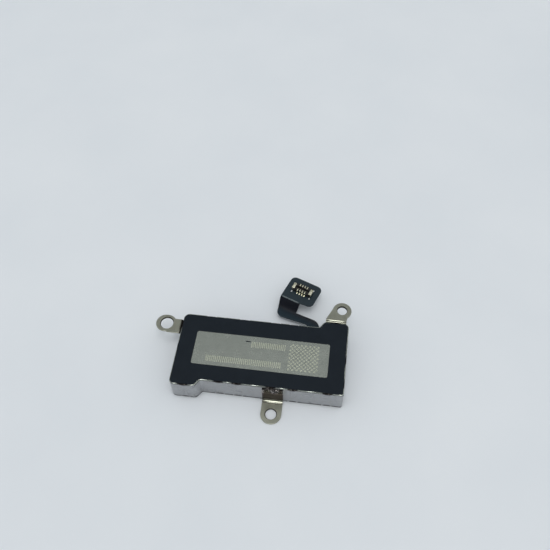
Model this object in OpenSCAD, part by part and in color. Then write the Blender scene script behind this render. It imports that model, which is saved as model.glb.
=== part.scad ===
// Linear vibration motor: a flat sealed case with a sprung magnet mass that slides along X,
// three bent fixing tabs and a short flex tail with a board-to-board connector.
// Millimetres. +X along the case and the mass travel, +Z up.
// The origin is the centre of the case's bottom face.

/* [Case] */
// Case length along X
body_l = 24.2; // [22:0.1:26]
// Case depth along Y, without the two corner lobes
body_w = 10.4; // [9.6:0.1:11]
// Case height to the top of the cover
body_h = 4; // [3.8:0.1:4.6]
// How far each corner lobe stands out from the long side
lobe_out = 1; // [0.9:0.05:1.2]
// Straight length of each lobe along X
lobe_l = 3.6; // [3:0.1:4]
// Length of the slanted step from a lobe back to the long side
lobe_run = 0.65; // [0.5:0.05:1.2]
// Plan radius of the lobe corners
lobe_r = 0.7; // [0.5:0.05:0.8]
// Plan radius of the front right corner
front_corner_r = 0.3; // [0.3:0.05:0.6]
// Plan radius of the back left corner
back_corner_r = 0.85; // [0.4:0.05:0.9]
// Wall thickness of the side frame
wall = 0.3; // [0.25:0.01:0.35]
// Thickness of the top and bottom covers
cover_t = 0.3; // [0.25:0.01:0.35]
// Setback of the covers from the frame's outer face
cover_in = 0.02; // [0.02:0.01:0.06]
// Rounding of each cover's outer edge
cover_round = 0.1; // [0.08:0.01:0.12]

/* [Film] */
// Thickness of the black film on the top cover
film_t = 0.06; // [0.04:0.01:0.1]
// Setback of the film from the case's edge
film_in = 0.13; // [0.12:0.01:0.4]
// Film offset along Y
film_y = -0.04; // [-0.1:0.01:0.1]
// Window length in the film
window_l = 19.25; // [18:0.05:19.5]
// Window width in the film
window_w = 5.3; // [5:0.1:6]
// Window offset along Y
window_y = -0.18; // [-0.3:0.01:0.3]

/* [Welds] */
// Length of one weld notch in a cover's edge
notch_l = 1.45; // [1.2:0.05:1.6]
// Depth of a weld notch
notch_d = 0.2; // [0.16:0.01:0.2]
// Radius of a weld bead
bead_r = 0.11; // [0.08:0.01:0.12]

/* [Tabs] */
// Sheet thickness of the tabs
tab_t = 0.25; // [0.2:0.01:0.3]
// Inner bend radius of the tabs
tab_bend = 0.3; // [0.2:0.05:0.4]
// Front tab screw hole diameter
front_hole = 1.55; // [1.4:0.05:1.65]
// Back tab screw hole diameter
back_hole = 1.42; // [1.36:0.02:1.6]
// Left tab locating hole diameter
left_hole = 1.85; // [1.7:0.05:2]
// Height of the left tab's upper face
left_top = 3.1; // [2.8:0.05:3.4]

/* [Moving mass] */
// Length of the moving mass, without its spring feet
mass_l = 18.6; // [18.4:0.1:18.8]
// Depth of the moving mass
mass_w = 9; // [8.6:0.1:9.2]
// Thickness of the magnet carrier
carrier_t = 2; // [1.9:0.05:2.05]
// Height of the heavy end weights
weight_t = 2.7; // [2.4:0.1:2.8]
// Length of one end weight along X
weight_l = 2.7; // [2.4:0.1:2.8]
// Sheet thickness of the flexure springs
spring_t = 0.18; // [0.14:0.01:0.2]
// Height of the flexure springs
spring_h = 2.4; // [2:0.1:2.6]
// Thickness of the plates that clamp the spring ends
clamp_t = 0.2; // [0.15:0.01:0.22]

/* [Coils] */
// Height of one coil winding
coil_t = 0.38; // [0.34:0.01:0.4]
// Coil length along X
coil_l = 5.3; // [5:0.1:5.5]
// Coil length along Y
coil_w = 7; // [6.4:0.1:7.4]
// Width of the winding
coil_band = 1.55; // [1.4:0.05:1.7]
// Thickness of the flexible circuits
flex_t = 0.12; // [0.1:0.01:0.14]

/* [Tail] */
// Turn of the connector board about Z, in degrees
tail_turn = -21.5; // [-30:0.5:-15]
// Height of the connector board's sheet
board_z = 2; // [1.8:0.1:2.3]
// Height of the sideways run of the tail
run_z = 0.9; // [0.8:0.05:1.1]
// Connector board length
board_l = 5.15; // [4.9:0.05:5.4]
// Connector board width
board_w = 3.96; // [3.8:0.02:4.1]
// Contact pitch of the connector
pitch = 0.4; // [0.35:0.05:0.4]
// Contacts in each of the two rows
row_contacts = 4; // [3:1:4]

/* [Hidden] */
$fn = 48;

half_l = body_l / 2;
half_w = body_w / 2;
frame_bottom = cover_t;
frame_top = body_h - cover_t;
mid_z = body_h / 2;
arc_steps = 6;        // chords in each rounded corner
min_r = 0.08;         // smallest plan radius of a corner
lobe_foot_r = 0.35;   // plan radius where a lobe's step meets the long side
eps = 0.01;           // overshoot of a cut past a face

// Case details
weld_front_x = [-10.1, -5.3, -2.7, 2, 5.1, 9.9];
weld_back_x = [-8, -3.1, 1.5, 4.2, 10.1];
weld_side_y = [-3.4, 0.3];
slot_x = 6.66;        // middle of the tail's slot in the rear wall
slot_l = 2.1;
slot_h = 0.2;
rim_w = 0.1;          // overlap of a cover's rounded rim and its flat plate
root_w = 1.84;        // width of the flexible circuit in the slot

// Tabs
tab_out = tab_t + tab_bend;
front_x = 2.31;
front_reach = 2.23;
front_r = 1.46;
hole_chamfer = 0.1;
back_x = 10.17;
back_w = 3;
back_reach = 2.16;
back_shift = 0.74;
back_r = 1.38;
back_leg = 2.4;       // height of the leg on the wall, with its bend
left_y = 3.45;
left_w = 2.3;
left_reach = 2.53;
left_shift = 0.32;
left_r = 1.38;
left_stretch = 0.24;
left_leg = 2.2;
leg_margin = 0.32;    // how far the front tab's leg stops short of the case's top

// Moving mass and springs
carrier_z = mid_z - carrier_t / 2;
magnet_w = 6;
magnet_gap = 0.02;    // glue gap round a magnet
center_magnet_l = 5.2;
side_magnet_l = 2.6;
side_magnet_x = 4.5;
weld_pad_l = 2.2;     // flat end of each spring arm
pad_y = 3.4;          // middle of that flat end
clamp_l = 1.7;
bend_x = half_l - wall - 0.8;
bend_y = 5;
bend_r = 0.42;
arm_x = half_l - wall - spring_t / 2;
foot_x = mass_l / 2 + spring_t / 2;
bumper_l = 0.95;
bumper_w = 1.6;

// Coils
coil_x = 2.9;
coil_r = 1.2;
lower_coil_z = cover_t + flex_t;
upper_coil_z = body_h - cover_t - flex_t - coil_t;

// Tail and connector
tail_start = 0.06;    // gap between the wall and the hinged part of the tail
board_x = 4.6;
board_y = 12.36;
board_r = 0.8;
exit_z = cover_t + flex_t / 2;
stiffener_t = 0.15;
stiffener_in = 0.06;
housing_l = 3.1;
housing_w = 1.2;
housing_h = 0.6;
housing_v = 0.11;     // offset of the connector from the board's middle
well_l = 2.2;
well_w = 0.4;
well_d = 0.4;
contact_w = 0.16;
contact_in = 0.28;    // inner end of a contact's upper face from the connector's centre line
contact_out = 0.88;   // outer end of its solder tail
contact_t = 0.07;
hold_x = 1.41;
hold_l = 0.44;
hold_w = 1;
hold_gap = 0.02;
pad_l = 0.24;
pad_w = 0.32;
pad_u = 1.5;
pad_v = 0.77;

// Points of an arc that rounds the corner b between a and c with radius r
function corner(a, b, c, r) =
    let (
        u = (a - b) / norm(a - b),
        v = (c - b) / norm(c - b),
        half = acos(max(-1, min(1, u * v))) / 2,
        back = r / tan(half),
        centre = b + (u + v) / norm(u + v) * r / sin(half),
        p = b + u * back - centre,
        q = b + v * back - centre,
        turn = sign(p.x * q.y - p.y * q.x) * (180 - 2 * half)
    )
    [for (i = [0:arc_steps])
        let (t = turn * i / arc_steps)
        centre + [p.x * cos(t) - p.y * sin(t), p.x * sin(t) + p.y * cos(t)]];

// A closed outline with a radius at every corner
function rounded(pts, radii) =
    let (n = len(pts))
    [for (i = [0:n - 1]) each corner(pts[(i + n - 1) % n], pts[i], pts[(i + 1) % n], radii[i])];

// An open line with a radius at every inner point
function bent(pts, radii) =
    let (n = len(pts))
    [pts[0], for (i = [1:n - 2]) each corner(pts[i - 1], pts[i], pts[i + 1], radii[i - 1]), pts[n - 1]];

// Unit normal of a line at its point i
function normal_at(line, i) =
    let (
        a = line[max(i - 1, 0)],
        b = line[min(i + 1, len(line) - 1)],
        d = (b - a) / norm(b - a)
    )
    [-d.y, d.x];

// A closed outline of width t along an open line
function ribbon(line, t) = concat(
    [for (i = [0:len(line) - 1]) line[i] + normal_at(line, i) * t / 2],
    [for (i = [len(line) - 1:-1:0]) line[i] - normal_at(line, i) * t / 2]
);

// Case outline, set in by d. The second half is the first turned by 180 degrees.
function case_outline(d) =
    let (
        slant = d * tan(atan2(lobe_out, lobe_run) / 2),
        pts = [
            [-half_l + d, -half_w - lobe_out + d],
            [-half_l + lobe_l - slant, -half_w - lobe_out + d],
            [-half_l + lobe_l + lobe_run - slant, -half_w + d],
            [half_l - d, -half_w + d]
        ],
        lobe = max(min_r, lobe_r - d),
        step = [lobe, lobe, lobe_foot_r + d]
    )
    rounded([each pts, for (p = pts) -p], [
        each step, max(min_r, front_corner_r - d),
        each step, max(min_r, back_corner_r - d)
    ]);

// A band round the case through rings of points. Each ring is [inset, height], and the last
// joins the first.
module band(levels) {
    rings = [for (l = levels) case_outline(l[0])];
    n = len(rings[0]);
    count = len(levels);
    points = [for (k = [0:count - 1]) for (p = rings[k]) [p.x, p.y, levels[k][1]]];
    faces = [for (k = [0:count - 1]) for (i = [0:n - 1])
        let (j = (i + 1) % n, m = (k + 1) % count)
        [k * n + i, m * n + i, m * n + j, k * n + j]];
    polyhedron(points, faces);
}

// A plate with round corners, centred on the origin, its bottom at z = 0
module rounded_plate(l, w, h, r) {
    linear_extrude(h) {
        square([l - 2 * r, w], center = true);
        square([l, w - 2 * r], center = true);
        for (x = [-1, 1], y = [-1, 1])
            translate([x * (l / 2 - r), y * (w / 2 - r)])
                circle(r);
    }
}

module block(size, at) {
    translate([at.x - size.x / 2, at.y - size.y / 2, at.z])
        cube(size);
}

// Puts its children at every weld, turned so that +Y there points out of the case
module at_welds(d) {
    for (x = weld_front_x)
        translate([x, -half_w - (x < -half_l + lobe_l ? lobe_out : 0) + d, 0])
            rotate(180)
                children();
    for (x = weld_back_x)
        translate([x, half_w + (x > half_l - lobe_l ? lobe_out : 0) - d, 0])
            children();
    for (y = weld_side_y, side = [-1, 1])
        translate([side * (half_l - d), side * y, 0])
            rotate(-90 * side)
                children();
}

// One cover: rounded along its outer edge, notched where it is welded, its outer face at z = 0
module cover() {
    edge = cover_in + cover_round;
    inner = edge + rim_w;
    difference() {
        union() {
            translate([0, 0, -cover_t])
                linear_extrude(cover_t)
                    polygon(case_outline(edge));
            band([
                [inner, -cover_t / 2],
                [inner, -cover_t],
                [cover_in, -cover_t],
                [cover_in, -cover_round],
                for (a = [30, 60, 90])
                    [edge - cover_round * cos(a), -cover_round * (1 - sin(a))]
            ]);
        }
        at_welds(cover_in)
            block([notch_l, 2 * notch_d, cover_t + 2 * eps], [0, 0, -cover_t - eps]);
    }
}

// Weld beads along a seam, in the notches of a cover
module beads(z) {
    at_welds(cover_in + notch_d - 0.02)
        translate([-notch_l / 2 + 0.05, bead_r, z])
            rotate([0, 90, 0])
                cylinder(r = bead_r, h = notch_l - 0.1, $fn = 16);
}

// A strip that lies on a wall and bends out into a level flange.
// The wall is the plane y = 0, the flange points to -y and lies at z = 0 to tab_t.
module bent_strip(w, leg) {
    translate([-w / 2, -tab_t, tab_out])
        cube([w, tab_t, leg - tab_out]);
    translate([-w / 2, -tab_out, tab_out])
        intersection() {
            rotate([0, 90, 0])
                difference() {
                    cylinder(r = tab_out, h = w);
                    translate([0, 0, -eps])
                        cylinder(r = tab_bend, h = w + 2 * eps);
                }
            translate([0, 0, -tab_out])
                cube([w, tab_out, tab_out]);
        }
}

module flange(outline) {
    linear_extrude(tab_t)
        polygon(outline);
}

// A hole through a flange, chamfered on the face at z = 0
module chamfered_hole(d) {
    translate([0, 0, -eps])
        cylinder(d = d, h = tab_t + 2 * eps);
    translate([0, 0, -eps])
        cylinder(d1 = d + 2 * (hole_chamfer + eps), d2 = d, h = hole_chamfer + eps);
}

module side_frame() {
    color("#9a9ca0")
        difference() {
            translate([0, 0, frame_bottom])
                linear_extrude(frame_top - frame_bottom)
                    difference() {
                        polygon(case_outline(0));
                        polygon(case_outline(wall));
                    }
            block([slot_l, 4 * wall, slot_h + eps], [slot_x, half_w, frame_bottom - eps]);
        }
}

module top_cover() {
    color("#7d7f78")
        translate([0, 0, body_h])
            cover();
}

module bottom_cover() {
    color("#8c8e90")
        mirror([0, 0, 1])
            cover();
}

module cover_film() {
    color("#1e2328")
        difference() {
            translate([0, film_y, body_h])
                linear_extrude(film_t)
                    polygon(case_outline(film_in));
            translate([0, window_y, body_h - eps])
                rounded_plate(window_l, window_w, film_t + 2 * eps, 0.3);
        }
}

module top_welds() {
    color("#4f4a44")
        beads(frame_top + bead_r);
}

module bottom_welds() {
    color("#4f4a44")
        beads(frame_bottom - bead_r);
}

module tab_front() {
    color("#6e7060")
        translate([front_x, -half_w, 0])
            difference() {
                union() {
                    bent_strip(2 * front_r, body_h - leg_margin);
                    flange([
                        [-front_r, -tab_out], [-front_r, -front_reach],
                        [front_r, -front_reach], [front_r, -tab_out]
                    ]);
                    translate([0, -front_reach, 0])
                        cylinder(r = front_r, h = tab_t);
                }
                translate([0, -front_reach, tab_t])
                    mirror([0, 0, 1])
                        chamfered_hole(front_hole);
            }
}

module tab_back() {
    neck = back_w / 2;
    color("#6e7060")
        translate([back_x, half_w + lobe_out, body_h])
            rotate(180)
                mirror([0, 0, 1])
                    difference() {
                        union() {
                            bent_strip(back_w, back_leg);
                            flange([
                                [neck, -tab_out], [-neck, -tab_out], [-neck - 0.08, -tab_out - 0.4],
                                [-back_shift, -back_reach], [-back_shift + back_r, -back_reach - 0.2]
                            ]);
                            translate([-back_shift, -back_reach, 0])
                                cylinder(r = back_r, h = tab_t);
                        }
                        translate([-back_shift, -back_reach, -eps])
                            cylinder(d = back_hole, h = tab_t + 2 * eps);
                    }
}

module tab_left() {
    neck = left_w / 2;
    far = -left_reach - left_stretch;
    color("#6e7060")
        translate([-half_l, left_y, left_top])
            rotate(-90)
                mirror([0, 0, 1])
                    difference() {
                        union() {
                            bent_strip(left_w, left_leg);
                            flange([
                                [-neck, -tab_out], [neck, -tab_out],
                                [neck, -left_reach + 0.2], [-left_shift, -left_reach],
                                [-neck, -left_reach]
                            ]);
                            for (y = [far, -left_reach])
                                translate([-left_shift, y, 0])
                                    cylinder(r = left_r, h = tab_t);
                            flange([
                                [-left_shift - left_r, far], [-left_shift + left_r, far],
                                [-left_shift + left_r, -left_reach],
                                [-left_shift - left_r, -left_reach]
                            ]);
                        }
                        translate([-left_shift, -left_reach, 0])
                            chamfered_hole(left_hole);
                    }
}

// One racetrack coil
module coil(x, z) {
    color("#b5693a")
        translate([x, 0, z])
            difference() {
                rounded_plate(coil_l, coil_w, coil_t, coil_r);
                translate([0, 0, -eps])
                    rounded_plate(coil_l - 2 * coil_band, coil_w - 2 * coil_band,
                                  coil_t + 2 * eps, 0.35);
            }
}

module coil_lower_left() {
    coil(-coil_x, lower_coil_z);
}

module coil_lower_right() {
    coil(coil_x, lower_coil_z);
}

module coil_upper_left() {
    coil(-coil_x, upper_coil_z);
}

module coil_upper_right() {
    coil(coil_x, upper_coil_z);
}

// Circuit on the bottom cover, which leaves through the rear slot as far as the wall's outer face
module main_flex() {
    length = 2 * coil_x + coil_l;
    inner_x = length / 2 - 1;
    root_x = slot_x + root_w / 2;
    link_w = 1.6;
    link_y = half_w - wall - 1.8;
    color("#a56a1c")
        translate([0, 0, cover_t]) {
            rounded_plate(length, coil_w, flex_t, coil_r);
            block([root_x - inner_x, link_w, flex_t], [(root_x + inner_x) / 2, link_y, 0]);
            block([root_w, half_w - link_y, flex_t], [slot_x, (half_w + link_y) / 2, 0]);
        }
}

// Circuit under the top cover, joined to the lower one by a strip on the rear wall
module upper_flex() {
    length = 2 * coil_x + coil_l;
    strip_x = 3.2;
    strip_w = 1.4;
    top_z = frame_top - flex_t;
    low_z = cover_t + flex_t;
    inner_y = half_w - wall;
    color("#a56a1c") {
        translate([0, 0, top_z])
            rounded_plate(length, coil_w, flex_t, coil_r);
        block([strip_w, inner_y - coil_w / 2 + 0.2, flex_t],
              [strip_x, (inner_y + coil_w / 2 - 0.2) / 2, top_z]);
        block([strip_w, flex_t, top_z - low_z], [strip_x, inner_y - flex_t / 2, low_z]);
    }
}

// Plan line of one flexure: flat pad on the case, bend in the lobe, flat pad on the mass
function spring_line() = bent([
    [-arm_x, pad_y + weld_pad_l / 2],
    [-arm_x, pad_y - weld_pad_l / 2],
    [-bend_x - bend_r, -bend_y],
    [-bend_x, -bend_y - bend_r - 0.12],
    [-bend_x + bend_r, -bend_y],
    [-foot_x, pad_y - weld_pad_l / 2],
    [-foot_x, pad_y + weld_pad_l / 2]
], [3, 0.3, 0.3, 0.3, 3]);

module spring() {
    color("#c4c0b4")
        translate([0, 0, mid_z - spring_h / 2])
            linear_extrude(spring_h)
                polygon(ribbon(spring_line(), spring_t));
}

module spring_left() {
    spring();
}

module spring_right() {
    rotate(180)
        spring();
}

// Plate that clamps a spring's pad, its outer face at x
module clamp_plate(x) {
    color("#8f9296")
        block([clamp_t, clamp_l, spring_h], [x, pad_y, mid_z - spring_h / 2]);
}

module anchor_left() {
    clamp_plate(-arm_x + spring_t / 2 + clamp_t / 2);
}

module anchor_right() {
    rotate(180)
        anchor_left();
}

module spring_foot_left() {
    clamp_plate(-foot_x - spring_t / 2 - clamp_t / 2);
}

module spring_foot_right() {
    rotate(180)
        spring_foot_left();
}

module bumper_left() {
    color("#2b2b2d")
        block([bumper_l, bumper_w, spring_h - 0.4],
              [-arm_x + spring_t / 2 + clamp_t + bumper_l / 2, pad_y, mid_z - spring_h / 2 + 0.2]);
}

module bumper_right() {
    rotate(180)
        bumper_left();
}

module magnet(l, x) {
    color("#b9bcc2")
        translate([x, 0, carrier_z + 0.05])
            rounded_plate(l, magnet_w, carrier_t - 0.1, 0.2);
}

module magnet_left() {
    magnet(side_magnet_l, -side_magnet_x);
}

module magnet_center() {
    magnet(center_magnet_l, 0);
}

module magnet_right() {
    magnet(side_magnet_l, side_magnet_x);
}

// Steel carrier with a pocket for each magnet, between the two weights
module carrier_frame() {
    color("#85878b")
        difference() {
            translate([0, 0, carrier_z])
                rounded_plate(mass_l - 2 * weight_l, mass_w, carrier_t, 0.15);
            for (m = [[side_magnet_l, -side_magnet_x], [center_magnet_l, 0], [side_magnet_l, side_magnet_x]])
                translate([m[1], 0, carrier_z - eps])
                    rounded_plate(m[0] + 2 * magnet_gap, magnet_w + 2 * magnet_gap,
                                  carrier_t + 2 * eps, 0.2);
        }
}

module weight_left() {
    color("#5f6064")
        translate([-mass_l / 2 + weight_l / 2, 0, mid_z - weight_t / 2])
            rounded_plate(weight_l, mass_w, weight_t, 0.3);
}

module weight_right() {
    rotate(180)
        weight_left();
}

// Puts its children in the connector board's frame: u along its length, v across it
module at_board(z) {
    translate([board_x, board_y, z])
        rotate(tail_turn)
            children();
}

// Height of the tail's sheet against v: up out of the wall, level run, ramp up to the board
function tail_profile() = bent([
    [-9, exit_z], [-5.4, exit_z], [-4.85, run_z], [-3.15, run_z], [-2.1, board_z], [3, board_z]
], [0.4, 0.4, 1.6, 0.2]);

// Outline of the tail seen from above, in the board's frame. The root's two points lie past the
// rear wall and are cut off there.
function tail_outline() = rounded([
    [board_l / 2, board_w / 2], [-board_l / 2, board_w / 2],
    [-board_l / 2, -2.5], [-1.85, -4.98], [3.18, -4.28], [3.93, -7.2],
    [5.64, -6.7], [4.87, -3.12], [0.66, -3.33], [0.68, -board_w / 2 - 0.1], [board_l / 2, -board_w / 2]
], [board_r, board_r, 2.2, 1, 0.5, 0.05, 0.05, 1.5, 0.12, 0.12, board_r]);

module flex_tail() {
    color("#20242a")
        intersection() {
            at_board(0)
                intersection() {
                    rotate([90, 0, 90])
                        translate([0, 0, -5])
                            linear_extrude(14)
                                polygon(ribbon(tail_profile(), flex_t));
                    linear_extrude(body_h)
                        polygon(tail_outline());
                }
            translate([-half_l, half_w + tail_start, 0])
                cube([body_l, body_l, body_h]);
        }
}

module connector_stiffener() {
    color("#33363b")
        at_board(board_z - flex_t / 2 - stiffener_t)
            rounded_plate(board_l - 2 * stiffener_in, board_w - 2 * stiffener_in, stiffener_t,
                          board_r - stiffener_in);
}

module connector_housing() {
    color("#2c241f")
        at_board(board_z + flex_t / 2)
            translate([0, housing_v, 0])
                difference() {
                    rounded_plate(housing_l, housing_w, housing_h, 0.12);
                    translate([0, 0, housing_h - well_d])
                        rounded_plate(well_l, well_w, well_d + eps, 0.08);
                    for (side = [-1, 1])
                        translate([side * hold_x, 0, housing_h - well_d])
                            rounded_plate(hold_l + 2 * hold_gap, hold_w + 2 * hold_gap,
                                          well_d + eps, 0.05);
                }
}

// One contact: an upper face on the housing, a leg down its side and a solder tail
module contact() {
    side = housing_w / 2;
    block([contact_w, side - contact_in, contact_t], [0, (side + contact_in) / 2, housing_h]);
    block([contact_w, contact_t, housing_h + contact_t], [0, side + contact_t / 2, 0]);
    block([contact_w, contact_out - side, contact_t], [0, (contact_out + side) / 2, 0]);
}

module signal_contacts() {
    color("#d9c27a")
        at_board(board_z + flex_t / 2)
            translate([0, housing_v, 0])
                for (i = [0:row_contacts - 1], side = [0, 180])
                    rotate(side)
                        translate([(i - (row_contacts - 1) / 2) * pitch, 0, 0])
                            contact();
}

module hold_downs() {
    color("#d9c27a")
        at_board(board_z + flex_t / 2 + housing_h - well_d)
            translate([0, housing_v, 0])
                for (side = [-1, 1])
                    translate([side * hold_x, 0, 0])
                        rounded_plate(hold_l, hold_w, well_d + contact_t, 0.05);
}

module solder_pads() {
    color("#c9cbc4")
        at_board(board_z + flex_t / 2)
            translate([0, housing_v, 0])
                for (u = [-1, 1], v = [-1, 1])
                    translate([u * pad_u, v * pad_v, 0])
                        rounded_plate(pad_l, pad_w, 0.06, 0.1);
}

side_frame();
top_cover();
bottom_cover();
cover_film();
top_welds();
bottom_welds();
tab_front();
tab_back();
tab_left();
main_flex();
upper_flex();
coil_lower_left();
coil_lower_right();
coil_upper_left();
coil_upper_right();
anchor_left();
anchor_right();
bumper_left();
bumper_right();
spring_left();
spring_right();
carrier_frame();
magnet_left();
magnet_center();
magnet_right();
weight_left();
weight_right();
spring_foot_left();
spring_foot_right();
flex_tail();
connector_stiffener();
connector_housing();
signal_contacts();
hold_downs();
solder_pads();
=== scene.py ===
"""Looks of a flat linear vibration motor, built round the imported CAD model.

Blender's units are metres. Numbers here are millimetres of the shared frame unless they say
otherwise, and MM turns them into metres.
"""

import math

import bmesh
import bpy
from mathutils import Matrix, Vector, noise


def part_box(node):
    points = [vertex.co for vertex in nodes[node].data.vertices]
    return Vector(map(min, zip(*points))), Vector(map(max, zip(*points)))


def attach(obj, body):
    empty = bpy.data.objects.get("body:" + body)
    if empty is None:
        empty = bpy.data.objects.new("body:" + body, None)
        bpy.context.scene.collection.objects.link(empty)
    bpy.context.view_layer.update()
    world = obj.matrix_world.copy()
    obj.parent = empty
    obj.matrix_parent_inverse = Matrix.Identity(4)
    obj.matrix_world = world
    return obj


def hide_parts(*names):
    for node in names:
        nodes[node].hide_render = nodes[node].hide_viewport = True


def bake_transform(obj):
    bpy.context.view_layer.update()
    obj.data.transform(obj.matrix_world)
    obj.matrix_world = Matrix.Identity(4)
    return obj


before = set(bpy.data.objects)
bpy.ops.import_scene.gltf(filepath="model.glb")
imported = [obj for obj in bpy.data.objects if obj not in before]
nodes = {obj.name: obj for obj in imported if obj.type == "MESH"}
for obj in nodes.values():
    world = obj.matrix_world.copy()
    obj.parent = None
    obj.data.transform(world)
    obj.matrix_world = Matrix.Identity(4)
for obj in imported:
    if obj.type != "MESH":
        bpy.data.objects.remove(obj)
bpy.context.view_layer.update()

MM = 0.001
CASE, MASS, TAIL = "case", "moving_mass", "tail"
CASE_H = 4.0                    # height of the case with both covers, without the film
HALF_L, HALF_W = 12.1, 5.2      # half the case's length, and half its width beside the lobes
WALL = 0.3                      # thickness of the side frame's wall
TAIL_TURN = math.radians(-21.5)  # turn of the tail's board about Z
SMOOTH_DEG = 35                 # edges flatter than this are shaded smoothly
FLAT_DEG = 0.3                  # faces that turn by less than this are joined
SAME_PLACE = 1e-7               # metres; corners closer than this are one


def box_mm(node):
    """Lowest and highest corner of a CAD node, in millimetres."""
    low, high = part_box(node)
    return low / MM, high / MM


def islands(node):
    """The box of each separate solid of a CAD node, in millimetres."""
    bm = bmesh.new()
    bm.from_mesh(nodes[node].data)
    bmesh.ops.remove_doubles(bm, verts=bm.verts, dist=SAME_PLACE)
    left, found = set(bm.verts), []
    while left:
        stack, group = [left.pop()], []
        while stack:
            v = stack.pop()
            group.append(v.co / MM)
            for e in v.link_edges:
                o = e.other_vert(v)
                if o in left:
                    left.remove(o)
                    stack.append(o)
        found.append((Vector([min(p[i] for p in group) for i in range(3)]),
                      Vector([max(p[i] for p in group) for i in range(3)])))
    bm.free()
    return sorted(found, key=lambda b: tuple(round(c, 4) for c in b[0]))


# Middles of the welds on the long walls and on the end walls
WELD_SPOTS = [(low + high) / 2 for low, high in islands("top_welds")]
LONG_WALL_Y = HALF_W - 0.2      # welds further out than this sit on a long wall
SEAMS_ALONG_X = [p for p in WELD_SPOTS if abs(p.y) > LONG_WALL_Y]
SEAMS_ALONG_Y = [p for p in WELD_SPOTS if abs(p.y) < LONG_WALL_Y]


# ---------------------------------------------------------------- shader nodes

def set_socket(tree, socket, value):
    """Links an output to a socket, or sets a number or a colour on it."""
    if isinstance(value, bpy.types.NodeSocket):
        tree.links.new(value, socket)
    elif socket.type == "RGBA":
        socket.default_value = (*value, 1)
    else:
        socket.default_value = value


def colour_ramp(tree, value, stops):
    """The colour at value between stops, which are pairs of position and colour."""
    n = tree.nodes.new("ShaderNodeValToRGB")
    elements = n.color_ramp.elements
    while len(elements) < len(stops):
        elements.new(0.5)
    for element, (position, colour) in zip(elements, stops):
        element.position = position
        element.color = (*colour, 1)
    tree.links.new(value, n.inputs["Fac"])
    return n.outputs["Color"]


def colour_mix(tree, share, a, b, blend="MIX"):
    """Colour a with share of colour b blended over it."""
    n = tree.nodes.new("ShaderNodeMix")
    n.data_type = "RGBA"
    n.blend_type = blend
    set_socket(tree, n.inputs["Factor"], share)
    for socket, value in zip([i for i in n.inputs if i.type == "RGBA"], (a, b)):
        set_socket(tree, socket, value)
    return [o for o in n.outputs if o.type == "RGBA"][0]


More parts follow.
